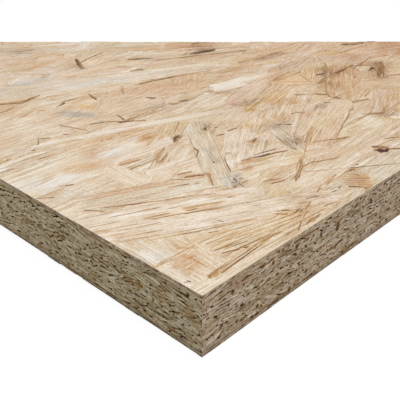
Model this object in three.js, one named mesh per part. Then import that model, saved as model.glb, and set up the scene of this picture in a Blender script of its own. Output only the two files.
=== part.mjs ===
// Oriented strand board panel: one full-size, square-edged building sheet.
//
// The sheet is pressed from wood strands as one endless mat and then sawn to
// size, so it is a single solid: two flat pressed faces, four sawn edges square
// to them, and arrises that sawing and stacking leave very slightly broken.
//
// Millimetres, +Z up. The origin is the centre of the underside, +X runs along
// the length (the way the face strands lie) and +Y along the width.

import * as THREE from "three";

// Nominal sheet size
const panelLength = 2500;
const panelWidth = 1250;
const panelThickness = 25;

// How far each arris is broken, measured along both faces that meet there
const arrisBreak = 0.3;

// Finish of the strands as a whole
const strandColour = 0xd5bfa5;
const strandRoughness = 0.75;

// Outline of the sheet seen from above, with its four upright corners broken.
function sheetOutline(length, width, corner) {
  const x = length / 2;
  const y = width / 2;
  const outline = new THREE.Shape();
  outline.moveTo(-x + corner, -y);
  outline.lineTo(x - corner, -y);
  outline.lineTo(x, -y + corner);
  outline.lineTo(x, y - corner);
  outline.lineTo(x - corner, y);
  outline.lineTo(-x + corner, y);
  outline.lineTo(-x, y - corner);
  outline.lineTo(-x, -y + corner);
  outline.closePath();
  return outline;
}

// The sheet itself: the outline pressed to thickness, with the arrises round
// both faces broken by the same amount. The bevel is turned inwards, so the
// sawn edges stay on the nominal length and width.
function sheetGeometry(length, width, thickness, arris) {
  const geometry = new THREE.ExtrudeGeometry(sheetOutline(length, width, arris), {
    depth: thickness - 2 * arris,
    bevelEnabled: true,
    bevelThickness: arris,
    bevelSize: arris,
    bevelOffset: -arris,
    bevelSegments: 1,
  });
  geometry.translate(0, 0, arris);
  return geometry;
}

const panel = new THREE.Mesh(
  sheetGeometry(panelLength, panelWidth, panelThickness, arrisBreak),
  new THREE.MeshStandardMaterial({
    color: strandColour,
    roughness: strandRoughness,
    metalness: 0,
  }),
);
panel.name = "osb_panel";

const sheet = new THREE.Group();
sheet.add(panel);

export default sheet;
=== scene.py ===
import math
import random

import bmesh
import bpy
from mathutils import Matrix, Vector


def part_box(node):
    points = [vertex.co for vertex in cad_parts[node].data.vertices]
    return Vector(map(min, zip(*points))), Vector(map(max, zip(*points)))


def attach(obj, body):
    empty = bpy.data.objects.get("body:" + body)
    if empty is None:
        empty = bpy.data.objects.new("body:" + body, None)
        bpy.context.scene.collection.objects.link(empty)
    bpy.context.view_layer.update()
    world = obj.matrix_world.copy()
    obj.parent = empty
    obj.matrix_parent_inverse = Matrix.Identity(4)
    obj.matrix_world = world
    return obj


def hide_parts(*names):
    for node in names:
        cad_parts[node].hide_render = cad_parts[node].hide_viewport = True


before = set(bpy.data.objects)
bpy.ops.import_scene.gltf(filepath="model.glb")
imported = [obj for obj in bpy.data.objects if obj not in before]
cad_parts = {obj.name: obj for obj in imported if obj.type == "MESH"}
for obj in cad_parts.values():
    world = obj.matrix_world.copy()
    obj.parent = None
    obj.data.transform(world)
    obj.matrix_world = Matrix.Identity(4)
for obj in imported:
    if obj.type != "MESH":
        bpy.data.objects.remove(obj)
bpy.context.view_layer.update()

# --------------------------------------------------------------------------------------
# Pressed core: the inside of the mat, strands and resin squeezed into one mass, dark partly from resin
# and partly as painted shade for the voids.
# It fills the sheet behind the strands that show and is seen only down the open voids,
# so its skin is lumpy and lies a little inside every face.
# --------------------------------------------------------------------------------------
MM = 0.001
panel_low, panel_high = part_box("osb_panel")
board_length = panel_high.x - panel_low.x
board_width = panel_high.y - panel_low.y
board_thickness = panel_high.z - panel_low.z
core_depth = 1.1 * MM  # how far the core lies behind each face
core_lump = 0.5 * MM
core_cuts = (60, 30, 6)  # along its length, width and thickness


def add(tree, kind, inputs=None, **settings):
    """A new node, its settings set, and each input given a value or wired to an output."""
    node = tree.nodes.new(kind)
    for name, value in settings.items():
        setattr(node, name, value)
    for key, value in (inputs or {}).items():
        if isinstance(value, bpy.types.NodeSocket):
            tree.links.new(value, node.inputs[key])
        else:
            node.inputs[key].default_value = value
    return node


def calc(tree, operation, *values):
    """The result of one sum on numbers or outputs."""
    inputs = dict(enumerate(values))
    return add(tree, "ShaderNodeMath", inputs, operation=operation).outputs[0]


def stretched(tree, place, along, across):
    """A place on a strand, scaled by one number along the grain and another across it."""
    scale = {0: place, 1: (along, across, 1.0)}
    return add(tree, "ShaderNodeVectorMath", scale, operation="MULTIPLY").outputs[0]


def grainy(tree, place, along, across, detail=2.0, rough=0.5, twist=0.0):
    """Noise drawn out along the grain: about one change per metre times the two numbers."""
    inputs = {
        "Vector": stretched(tree, place, along, across),
        "Scale": 1.0,
        "Detail": detail,
        "Roughness": rough,
        "Distortion": twist,
    }
    return add(tree, "ShaderNodeTexNoise", inputs).outputs["Fac"]


def above(tree, value, start, full):
    """0 where the value is under start, 1 where it is over full, and smooth between."""
    inputs = {"Value": value, "From Min": start, "From Max": full}
    node = add(tree, "ShaderNodeMapRange", inputs, interpolation_type="SMOOTHSTEP", clamp=False)
    return node.outputs["Result"]


def stain(tree, colour, shade, amount, blend="MIX", once=True):
    """The colour with a shade laid over it by an amount, which once holds down to 1."""
    inputs = {0: amount, 6: colour, 7: shade}
    node = add(tree, "ShaderNodeMix", inputs, data_type="RGBA", blend_type=blend, clamp_factor=once)
    return node.outputs[2]


def new_finish(name, specular):
    """An empty material: its node tree and its shader, which is all there is at first."""
    finish = bpy.data.materials.new(name)
    finish.use_nodes = True
    shader = finish.node_tree.nodes["Principled BSDF"]
    shader.inputs["Specular IOR Level"].default_value = specular
    return finish, finish.node_tree, shader


def board_place(tree):
    """Where a point is on the whole board, in metres."""
    return add(tree, "ShaderNodeTexCoord").outputs["Object"]


def mottled(tree, changes, detail=3.0, rough=0.6):
    """Noise through the whole board, with about this many changes a metre."""
    inputs = {
        "Vector": board_place(tree),
        "Scale": changes,
        "Detail": detail,
        "Roughness": rough,
    }
    return add(tree, "ShaderNodeTexNoise", inputs).outputs["Fac"]


def own_piece(name, mesh, finish):
    """A finished piece at the origin, riding on the board."""
    piece = bpy.data.objects.new(name, mesh)
    bpy.context.scene.collection.objects.link(piece)
    mesh.materials.clear()
    mesh.materials.append(finish)
    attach(piece, "root")
    return piece


def core_finish():
    """Wood darkened partly by resin and partly as painted shade of the deep voids it is seen down."""
    finish, tree, shader = new_finish("pressed_core_finish", 0.0)
    lumps = mottled(tree, 220.0, 4.0, 0.65)
    # the dark brown is partly painted shade of the voids, partly resin
    shade = stain(tree, (0.17, 0.085, 0.022, 1), (0.66, 0.38, 0.11, 1), above(tree, lumps, 0.42, 0.62))
    tree.links.new(shade, shader.inputs["Base Color"])
    shader.inputs["Roughness"].default_value = 0.9
    return finish


def core_mesh():
    """A block of small panes, each corner pushed in by its own amount."""
    block = bmesh.new()
    size = Vector((board_length, board_width, board_thickness)) - Vector((2, 2, 2)) * core_depth
    bmesh.ops.create_cube(block, size=1.0)
    bmesh.ops.scale(block, vec=size, verts=block.verts)
    bmesh.ops.translate(block, vec=(panel_low + panel_high) / 2, verts=block.verts)
    for axis, cuts in enumerate(core_cuts):
        along = [
            edge
            for edge in block.edges
            if abs((edge.verts[0].co - edge.verts[1].co).normalized()[axis]) > 0.9
        ]
        bmesh.ops.subdivide_edges(block, edges=along, cuts=cuts, use_grid_fill=True)
    lumps = random.Random(3)
    for vert in block.verts:
        vert.co -= vert.normal * core_lump * lumps.random()
    mesh = bpy.data.meshes.new("pressed_core")
    block.to_mesh(mesh)
    block.free()
    return mesh


pressed_core = own_piece("pressed_core", core_mesh(), core_finish())
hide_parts("osb_panel")

# --------------------------------------------------------------------------------------
# Upper face: flat strands flaked along the grain, about 100 mm long, scattered over one
# another mostly along the sheet, and pressed flush by a polished plate. A bed of wide
# strands closes the face and narrower ones lie over it, each a closed slab of its own.
# --------------------------------------------------------------------------------------
strand_thickness = 0.6 * MM
strand_slimness = 6  # a strand's usual length over its width
rim_width = 0.02  # of the strand's width, drawn in round its upper side
saw_roughness = 0.15 * MM
straight_share = 0.9  # of the strands
most_astray = 1.1  # radians, as far as one of the others may turn
most_dip = 0.004  # radians, along a strand
most_roll = 0.008  # and across it
near_corner = Vector((panel_low.x, panel_low.y, panel_high.z))


def blank_outline(seed, side_points, end_points, taper, torn, bend=0.06):
    """A strand's outline in plan, 1 long and 1 wide, going round against the clock.

    taper narrows its ends, torn roughens them and bend bows it, all in parts of its size.
    """
    cut = random.Random(seed)
    near_half = 0.5 - cut.uniform(0, taper)
    far_half = 0.5 - cut.uniform(0, taper)
    bow = cut.uniform(-bend, bend)
    lean = cut.uniform(-0.1, 0.1)

    def side(sign):
        points = []
        for step in range(side_points):
            along = -1 + 2 * step / (side_points - 1)
            half = near_half + (far_half - near_half) * (along + 1) / 2
            shift = bow * (1 - 2 * along * along) + cut.uniform(-0.03, 0.03)
            start = along * (0.44 - torn) + sign * lean * 0.5
            points.append((start, sign * half + shift, sign))
        return points

    def end(sign):
        points = []
        for step in range(end_points):
            across = ((step + 0.5) / end_points * 2 - 1) * 0.8
            reach = 0.5 - torn * cut.random()
            lie = across * (near_half if sign < 0 else far_half) * 0.9
            points.append((sign * reach + across * lean * 0.5, sign * lie - bow, sign * across))
        return points

    outline = side(-1) + end(1) + side(1)[::-1] + end(-1)
    widest = max(abs(y) for _, y, _ in outline)
    return [(x, y * 0.5 / widest, side) for x, y, side in outline]


def placed_mesh(name, points, faces, upper, lower):
    """A mesh that keeps two values for its finish at each point, first the upper ones.

    blank is the place on the strand and how near a long side it is, -1 to 1. rim is 0 on the
    upper points and 1 on the lower ones.
    """
    mesh = bpy.data.meshes.new(name)
    mesh.from_pydata(points, [], faces)
    mesh.attributes.new("blank", "FLOAT_VECTOR", "POINT")
    mesh.attributes.new("rim", "FLOAT", "POINT")
    for index, place in enumerate(upper + lower):
        mesh.attributes["blank"].data[index].vector = place
        mesh.attributes["rim"].data[index].value = 0.0 if index < len(upper) else 1.0
    return mesh


def blank_mesh(name, outline, rim):
    """A closed slab from an outline: its upper ring drawn in by rim, its top at z = 0."""
    count = len(outline)
    upper = [(x * (1 - rim / strand_slimness), y * (1 - rim), 0.0) for x, y, _ in outline]
    lower = [(x, y, -1.0) for x, y, _ in outline]
    sides = [
        (step, count + step, count + (step + 1) % count, (step + 1) % count)
        for step in range(count)
    ]
    faces = [tuple(range(count)), tuple(reversed(range(count, 2 * count)))] + sides
    return placed_mesh(name, upper + lower, faces, outline, outline)


def cut_blanks(name, seed, side_points, end_points, taper, torn, bend=0.06, rim=rim_width):
    """Ten blanks of one sort, each cut a little differently."""
    cut = [blank_outline(seed + n, side_points, end_points, taper, torn, bend) for n in range(10)]
    return [blank_mesh(f"{name}_{n}", outline, rim) for n, outline in enumerate(cut)]


def box_of_blanks(name, meshes):
    """The blanks as objects of a collection that is in no scene."""
    kept = bpy.data.collections.new(name)
    for mesh in meshes:
        kept.objects.link(bpy.data.objects.new(mesh.name, mesh))
    return kept


def new_tree(name, inputs):
    """A Geometry Nodes tree with inputs named for each kind: the tree, its inputs, its output."""
    tree = bpy.data.node_groups.new(name, "GeometryNodeTree")
    tree.interface.new_socket("Geometry", in_out="OUTPUT", socket_type="NodeSocketGeometry")
    tree.interface.new_socket("Geometry", in_out="INPUT", socket_type="NodeSocketGeometry")
    for kind, labels in inputs.items():
        for label in labels:
            tree.interface.new_socket(label, in_out="INPUT", socket_type="NodeSocket" + kind)
    given = tree.nodes.new("NodeGroupInput").outputs
    result = tree.nodes.new("NodeGroupOutput").inputs[0]
    return tree, given, result


def keep_value(tree, geometry, name, value, kind="FLOAT", domain="POINT"):
    """The geometry with a value stored on it under a name."""
    inputs = {"Geometry": geometry, "Name": name, "Value": value}
    node = add(tree, "GeometryNodeStoreNamedAttribute", inputs, data_type=kind, domain=domain)
    return node.outputs[0]


def kept_value(tree, name, kind="FLOAT"):
    """The value stored under a name."""
    node = add(tree, "GeometryNodeInputNamedAttribute", {"Name": name}, data_type=kind)
    return node.outputs[0]


def chance(tree, low, high, seed, each=None, whole=False):
    """A random number between two others, for each point or for each value of each."""
    inputs = {4: low, 5: high, "Seed": seed} if whole else {2: low, 3: high, "Seed": seed}
    if each is not None:
        inputs["ID"] = each
    node = add(tree, "FunctionNodeRandomValue", inputs, data_type="INT" if whole else "FLOAT")
    return node.outputs[2 if whole else 1]


def triple(tree, x, y, z):
    """Three numbers as one vector."""
    return add(tree, "ShaderNodeCombineXYZ", {0: x, 1: y, 2: z}).outputs[0]


def parts_of(tree, vector):
    """A vector's three numbers."""
    return add(tree, "ShaderNodeSeparateXYZ", {0: vector}).outputs


def own_place(tree):
    """Where each point is, as three numbers."""
    return parts_of(tree, add(tree, "GeometryNodeInputPosition").outputs[0])


def moved(tree, geometry, x, y, z):
    """The geometry with its points at another place."""
    inputs = {"Geometry": geometry, "Position": triple(tree, x, y, z)}
    return add(tree, "GeometryNodeSetPosition", inputs).outputs[0]


def turned(tree, x, y, z):
    """A rotation from its three angles."""
    return add(tree, "FunctionNodeEulerToRotation", {0: triple(tree, x, y, z)}).outputs[0]


def finished_strands(tree, given, points, blanks, pick, rotation, size):
    """A real strand on each point, cut from the blank picked for it, turned and sized.

    Where each point is on its strand is kept for the grain, and each strand gets a cell of
    its own on the OFBake map.
    """
    inputs = {"Collection": blanks, "Separate Children": True, "Reset Children": True}
    inputs = {
        "Points": points,
        "Instance": add(tree, "GeometryNodeCollectionInfo", inputs).outputs[0],
        "Pick Instance": True,
        "Instance Index": pick,
        "Rotation": rotation,
        "Scale": size,
    }
    laid = add(tree, "GeometryNodeInstanceOnPoints", inputs).outputs[0]
    solid = add(tree, "GeometryNodeRealizeInstances", {"Geometry": laid}).outputs[0]
    along, across, _ = parts_of(tree, kept_value(tree, "blank", "FLOAT_VECTOR"))
    number = kept_value(tree, "lay")
    apart = 3.7  # metres of wood between one strand's grain and the next one's
    fill = 0.86  # of its cell on the map
    place = triple(
        tree,
        calc(tree, "MULTIPLY", along, kept_value(tree, "long")),
        calc(tree, "MULTIPLY", across, kept_value(tree, "wide")),
        calc(tree, "MULTIPLY", number, apart),
    )
    solid = keep_value(tree, solid, "grain", place, "FLOAT_VECTOR")
    columns = given["Map columns"]
    column = calc(tree, "FLOORED_MODULO", number, columns)
    row = calc(tree, "FLOOR", calc(tree, "DIVIDE", number, columns))
    right = calc(tree, "MULTIPLY_ADD", along, fill, calc(tree, "ADD", column, 0.5))
    up = calc(tree, "MULTIPLY_ADD", across, fill, calc(tree, "ADD", row, 0.5))
    right = calc(tree, "DIVIDE", right, columns)
    up = calc(tree, "DIVIDE", up, given["Map rows"])
    solid = keep_value(tree, solid, "OFBake", triple(tree, right, up, 0.0), "FLOAT2", "CORNER")
    inputs = {"Geometry": solid, "Material": given["Finish"]}
    return add(tree, "GeometryNodeSetMaterial", inputs).outputs[0]


def strand_laying_tree():
    """Lays one blank on every point, turned, sized and sunk as the point says."""
    inputs = {
        "Collection": ("Blanks",),
        "Float": ("Thickness", "Face height", "Facing", "Map columns", "Map rows"),
        "Material": ("Finish",),
    }
    tree, given, result = new_tree("lay_strands", inputs)
    facing = given["Facing"]
    x, y, _ = own_place(tree)
    sunk = calc(tree, "MULTIPLY", kept_value(tree, "sunk"), facing)
    height = calc(tree, "SUBTRACT", given["Face height"], sunk)
    points = moved(tree, given["Geometry"], x, y, height)
    number = add(tree, "GeometryNodeInputIndex").outputs[0]
    points = keep_value(tree, points, "lay", number)
    over = calc(tree, "MULTIPLY", calc(tree, "SUBTRACT", 1.0, facing), math.pi / 2)
    roll = calc(tree, "ADD", kept_value(tree, "roll"), over)
    turn = turned(tree, roll, kept_value(tree, "dip"), kept_value(tree, "turn"))
    size = triple(tree, kept_value(tree, "long"), kept_value(tree, "wide"), given["Thickness"])
    pick = kept_value(tree, "pick", "INT")
    strands = finished_strands(tree, given, points, given["Blanks"], pick, turn, size)
    tree.links.new(strands, result)
    return tree


def mat_forming_tree(laying):
    """Scatters points over the sheet and a margin round it, and lays a strand on each."""
    inputs = {
        "Float": (
            "Mat length", "Mat width", "Spacing", "Shortest", "Longest", "Narrowest", "Widest", "Drift",
            "Spread", "Least sunk", "Most sunk", "Hollow x", "Hollow y", "Hollow depth", "Darkest",
            "Palest", "Bark shortage", "Thickness", "Face height", "Facing", "Map columns", "Map rows",
        ),
        "Int": ("Seed",),
        "Collection": ("Blanks",),
        "Material": ("Finish",),
    }
    tree, given, result = new_tree("form_mat", inputs)
    inputs = {0: given["Mat length"], 1: given["Mat width"], 2: 2, 3: 2}
    sheet = add(tree, "GeometryNodeMeshGrid", inputs).outputs[0]
    inputs = {
        "Mesh": sheet,
        "Distance Min": given["Spacing"],
        "Density Max": 60000.0,  # a square metre, before the points too near one another go
        "Seed": given["Seed"],
    }
    scatter = "GeometryNodeDistributePointsOnFaces"
    points = add(tree, scatter, inputs, distribute_method="POISSON").outputs[0]

    def seed(step):
        return calc(tree, "ADD", given["Seed"], float(step))

    long = chance(tree, given["Shortest"], given["Longest"], seed(1))
    wide_pick = chance(tree, 0.0, 1.0, seed(2))
    wide_part = calc(tree, "POWER", wide_pick, 1.6)
    wide_more = calc(tree, "SUBTRACT", given["Widest"], given["Narrowest"])
    wide = calc(tree, "MULTIPLY_ADD", wide_part, wide_more, given["Narrowest"])
    spread = calc(tree, "MULTIPLY", given["Spread"], 2.2)
    swings = [chance(tree, -0.5, 0.5, seed(step)) for step in (3, 4, 5)]
    swing = calc(tree, "ADD", swings[0], calc(tree, "ADD", swings[1], swings[2]))
    turn = calc(tree, "MULTIPLY_ADD", swing, spread, given["Drift"])
    astray = calc(tree, "GREATER_THAN", chance(tree, 0.0, 1.0, seed(6)), straight_share)
    far_turn = chance(tree, -most_astray, most_astray, seed(7))
    turn = calc(tree, "MULTIPLY_ADD", astray, far_turn, turn)
    dip = chance(tree, -most_dip, most_dip, seed(8))
    roll = chance(tree, -most_roll, most_roll, seed(9))
    lift = calc(tree, "MULTIPLY", calc(tree, "ABSOLUTE", dip), calc(tree, "MULTIPLY", long, 0.5))
    half_wide = calc(tree, "MULTIPLY", wide, 0.5)
    lift = calc(tree, "MULTIPLY_ADD", calc(tree, "ABSOLUTE", roll), half_wide, lift)
    sunk = calc(tree, "ADD", chance(tree, given["Least sunk"], given["Most sunk"], seed(10)), lift)
    x, y, _ = own_place(tree)
    past_x = calc(tree, "SUBTRACT", x, given["Hollow x"])
    past_y = calc(tree, "SUBTRACT", y, given["Hollow y"])
    in_hollow = calc(tree, "LESS_THAN", calc(tree, "MAXIMUM", past_x, past_y), 0.0)
    sunk = calc(tree, "MULTIPLY_ADD", in_hollow, given["Hollow depth"], sunk)
    tone = chance(tree, given["Darkest"], given["Palest"], seed(11))
    tone = calc(tree, "MAXIMUM", tone, calc(tree, "MULTIPLY", wide, given["Bark shortage"]))
    greyest = calc(tree, "MULTIPLY_ADD", wide, -2.5, 1.0)
    tone = calc(tree, "MINIMUM", tone, greyest)
    pick = chance(tree, 0, 9, seed(12), whole=True)
    stored = dict(long=long, wide=wide, turn=turn, dip=dip, roll=roll, sunk=sunk, tone=tone)
    for name, value in stored.items():
        points = keep_value(tree, points, name, value)
    points = keep_value(tree, points, "pick", pick, "INT")
    lay = add(tree, "GeometryNodeGroup", node_tree=laying)
    tree.links.new(points, lay.inputs["Geometry"])
    for label in ("Blanks", "Thickness", "Face height", "Facing", "Map columns", "Map rows", "Finish"):
        tree.links.new(given[label], lay.inputs[label])
    tree.links.new(lay.outputs[0], result)
    return tree


def grown(name, mesh, tree, sizes):
    """The plain mesh that a tree makes, with its inputs set to these sizes."""
    holder = bpy.data.objects.new(name + "_maker", mesh)
    bpy.context.scene.collection.objects.link(holder)
    modifier = holder.modifiers.new(name, "NODES")
    modifier.node_group = tree
    for item in tree.interface.items_tree:
        if item.in_out == "INPUT" and item.name in sizes:
            modifier[item.identifier] = sizes[item.name]
    graph = bpy.context.evaluated_depsgraph_get()
    made = bpy.data.meshes.new_from_object(
        holder.evaluated_get(graph), preserve_all_data_layers=True, depsgraph=graph
    )
    made.name = name
    bpy.data.objects.remove(holder)
    return made


def saw_to_size(mesh):
    """Cuts off what stands past the sheet's four sides and closes each cut.

    The saw pulls each strand its own small way back from the nominal edge, and sawn is 1
    on the faces it leaves.
    """
    strands = bmesh.new()
    strands.from_mesh(mesh)
    sawn = strands.faces.layers.float.new("sawn")
    number = strands.verts.layers.float["lay"]
    cuts = (
        (panel_low, (-1, 0, 0)),
        (panel_low, (0, -1, 0)),
        (panel_high, (1, 0, 0)),
        (panel_high, (0, 1, 0)),
    )
    for point, outwards in cuts:
        everything = strands.verts[:] + strands.edges[:] + strands.faces[:]
        cut = bmesh.ops.bisect_plane(
            strands,
            geom=everything,
            dist=1e-7,
            plane_co=point,
            plane_no=outwards,
            clear_outer=True,
        )
        open_edges = [part for part in cut["geom_cut"] if isinstance(part, bmesh.types.BMEdge)]
        cut_corners = [part for part in cut["geom_cut"] if isinstance(part, bmesh.types.BMVert)]
        for face in bmesh.ops.holes_fill(strands, edges=open_edges, sides=0)["faces"]:
            face[sawn] = 1.0
        for corner in cut_corners:
            pulled = 0.02 + 0.98 * (corner[number] * 0.618 % 1)
            corner.co -= Vector(outwards) * pulled * saw_roughness
    bmesh.ops.recalc_face_normals(strands, faces=strands.faces[:])
    strands.to_mesh(mesh)
    strands.free()
    return mesh


def press_strands(name, points, laying, sizes):
    """One layer of strands as a piece: laid, sawn to size and finished."""
    own_piece(name, saw_to_size(grown(name, points, laying, sizes)), face_strand_finish)


def tone_shades(tree, tone, shades):
    """The colour a strand takes for its tone: shades are pairs of a tone and a colour."""
    ramp = add(tree, "ShaderNodeValToRGB", {0: tone})
    stops = ramp.color_ramp.elements
    while len(stops) < len(shades):
        stops.new(1.0)
    for stop, (position, colour) in zip(stops, shades):
        stop.position = position
        stop.color = (*colour, 1)
    return ramp.outputs["Color"]


def part(tree, amount, share):
    """A share of an amount."""
    return calc(tree, "MULTIPLY", amount, share)


def coated(tree, colour, coats):
    """The colour under some coats, laid on in turn.

    Each is a shade, the value it follows, where it starts, where it is full and its share.
    """
    for shade, value, start, full, share, *blend in coats:
        amount = part(tree, above(tree, value, start, full), share)
        colour = stain(tree, colour, shade, amount, *blend)
    return colour


def strand_value(tree, name, kind="Fac"):
    """What a strand keeps under a name, read by its finish."""
    return add(tree, "ShaderNodeAttribute", attribute_name=name).outputs[kind]


resin_orange = (0.60, 0.345, 0.165, 1)
bark_brown = (0.30, 0.155, 0.080, 1)
knot_black = (0.075, 0.012, 0.001, 1)
blue_rot = (0.44, 0.390, 0.340, 1)
weathered = (0.66, 0.58, 0.495, 1)
gold = (0.71, 0.475, 0.225, 1)
bleached = (1.15, 1.29, 1.46, 1)
# a pool of painted light: brightens the wood in one broad patch round the near corner
painted_light_pool = (1.11, 1.13, 1.11, 1)
browned = (0.82, 0.74, 0.64, 1)
cooled = (1.0, 1.10, 1.26, 1)
warmed = (1.0, 0.91, 0.76, 1)
tints = {  # as the stains, but they tint the wood that is there: paler or browner wood
    # the broad patch below is painted light round the near corner, not paler wood
    painted_light_pool: (
        (20, 20, 230, 230, 0, 0.53),
    ),
    cooled: (
        (10, 98, 44, 20, -25, 1.0), (12, 80, 30, 14, -20, 0.9), (47, 101, 24, 12, -20, 0.9),
        (14, 118, 34, 14, -25, 0.8), (8, 23, 12, 9, 0, 0.8), (70, 30, 18, 10, 0, 0.8),
        (24, 128, 32, 13, -25, 0.8), (120, 124, 30, 14, -10, 0.8), (62, 180, 36, 18, -30, 0.8),
        (78, 234, 70, 34, -35, 0.9), (109, 292, 50, 30, -40, 1.0), (150, 236, 80, 40, -45, 1.0),
        (172, 226, 50, 30, -45, 0.8), (92, 264, 44, 26, -40, 0.7), (62, 222, 40, 22, -30, 0.7),
        (110, 211, 36, 18, -40, 0.7), (86, 95, 17, 11, 0, 0.7), (2, 27, 12, 14, 0, 0.7),
        (6, 14, 11, 9, 0, 0.6), (274, 97, 34, 20, 20, 0.7),
    ),
    warmed: (
        (201, 45, 36, 18, 20, 1.0), (176, 110, 44, 24, 30, 0.9), (154, 83, 26, 14, 30, 0.9),
        (190, 103, 34, 20, 0, 0.9), (32, 41, 18, 9, -25, 0.6), (126, 77, 22, 12, 0, 0.8),
        (103, 4, 14, 9, 0, 0.8), (20, 24, 15, 10, 0, 0.8), (173, 74, 24, 13, 20, 0.7),
        (189, 196, 38, 18, -30, 0.7), (218, 88, 28, 16, 20, 0.7),
    ),
    bleached: (
        (2.2, 22, 46, 5.5, 90, 0.9), (62, 176, 28, 15, -30, 0.6), (76, 163, 24, 13, -20, 0.6),
        (129, 115, 28, 13, 0, 0.6), (25, 27, 13, 9, 0, 0.6), (138, 43, 18, 12, 30, 0.7),
        (216, 57, 30, 14, 20, 0.7), (182, 57, 26, 14, 20, 0.6), (37, 165, 34, 18, -30, 0.6),
        (31, 53, 18, 12, -20, 0.6), (37, 40, 16, 8, -25, 0.5), (5, 3, 13, 7, 0, 0.8),
        (14, 28, 30, 12, -40, 0.5), (7, 21, 9, 7, 0, 0.6), (34, 15, 44, 14, -18, 0.6),
        (40, 55, 28, 8, -25, 0.7), (3, 68, 30, 12, 80, 0.6), (20, 104, 46, 30, -10, 0.8),
        (53, 103, 26, 14, 0, 0.8), (46, 120, 24, 10, -15, 0.7), (5, 114, 20, 14, 0, 0.9),
        (41, 43, 16, 8, -25, 0.8), (1.5, 43, 14, 4, 90, 0.7), (17, 55, 16, 7, -25, 0.8),
        (26, 45.6, 12, 5, -25, 0.6), (64, 46, 12, 6, 50, 0.5), (104, 208, 170, 84, -25, 0.45),
        (98, 178, 70, 26, -25, 0.5), (62, 170, 44, 18, -10, 0.6), (133, 127, 24, 12, 0, 0.8),
        (158, 39, 34, 16, 0, 1.0), (160, 124, 50, 17, -8, 1.0), (52, 9.4, 26, 6, -5, 0.9),
    ),
    browned: (
        (294, 100, 70, 34, 40, 1.0), (206, 192, 46, 24, -20, 1.0), (190, 172, 70, 24, -20, 0.9),
        (164, 194, 36, 20, -30, 1.0), (114, 215, 30, 16, -20, 0.9), (209, 124, 34, 16, 0, 0.8),
        (102, 88, 22, 10, 0, 0.9), (80.5, 61, 18, 10, 0, 1.0), (137, 12, 20, 10, -20, 0.6),
        (65, 9, 15, 9, 0, 0.7), (218, 88, 28, 17, 20, 0.7), (243, 98, 32, 17, 20, 0.7),
        (148, 207, 36, 18, -35, 0.6), (121, 101, 24, 13, 0, 0.6), (242, 118, 40, 22, 20, 0.6),
        (5, 35, 12, 10, 0, 0.6), (83, 33, 15, 10, 0, 0.6), (179, 140, 32, 15, -10, 0.6),
        (69, 19, 22, 9, 0, 0.7), (8, 87, 26, 10, -20, 0.5), (1, 61, 12, 11, 0, 0.7),
        (51, 20, 17, 10, 0, 0.6), (78, 50, 15, 10, 0, 0.6), (116, 57, 20, 12, 0, 0.7),
        (194, 203, 46, 24, -30, 0.7), (182, 38, 24, 12, 20, 0.6), (82, 0, 24, 9, 0, 0.7),
        (167, 150, 34, 16, -20, 0.6), (19, 25, 22, 14, -20, 0.7), (60, 203, 44, 22, -30, 0.6),
        (39, 24, 20, 11, -30, 0.6), (91, 57, 18, 11, 0, 0.7), (92, 67, 18, 11, 0, 0.7),
        (4, 2, 13, 9, 0, 0.6), (104, 27, 20, 12, 0, 0.6), (85, 15, 16, 10, 0, 0.6),
        (109, 80, 24, 14, 0, 0.6), (122, 16, 24, 9, 0, 0.5), (106, 13, 14, 9, 0, 0.8),
        (152, 17, 22, 10, 0, 0.9), (248, 84, 44, 22, 35, 0.7), (228, 78, 44, 24, 30, 0.9),
        (90, 10, 14, 9, 0, 0.9), (68, 15, 14, 8, 0, 0.8), (244, 106, 40, 20, 30, 0.8),
        (214, 98, 44, 26, 0, 1.0), (190, 80, 28, 16, 30, 1.0), (198, 50, 62, 28, 20, 1.0),
        (178, 37, 26, 13, -20, 0.8), (154, 85, 26, 14, 0, 1.0), (137, 95, 28, 13, 20, 1.0),
        (116, 71, 18, 11, 0, 0.9), (77, 10, 26, 13, 0, 1.0), (163, 102, 46, 16, 25, 0.8),
        (190, 117, 34, 20, 10, 0.9), (88, 50, 18, 7, -18, 0.9), (99, 62, 16, 8, 0, 0.9),
        (114, 50, 15, 9, 0, 0.9), (98, 93, 24, 10, 50, 0.8), (77, 88, 15, 8, 40, 0.8),
        (97, 124, 30, 11, -15, 0.8), (84, 28.5, 11, 6, 0, 0.8), (43, 32, 16, 6, -28, 0.6),
        (61, 28, 17, 10, 0, 0.8), (47, 1.5, 13, 5, 0, 0.9), (21, 1.5, 13, 5, 0, 0.5),
        (96, 6, 20, 12, 20, 0.7), (108, 274, 50, 26, -30, 0.9), (280, 180, 90, 40, 0, 0.5),
        (84, 47, 17, 8, -18, 0.8), (107, 34, 16, 9, -10, 0.8), (130, 13, 16, 8, -40, 0.5),
    ),
}
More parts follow.
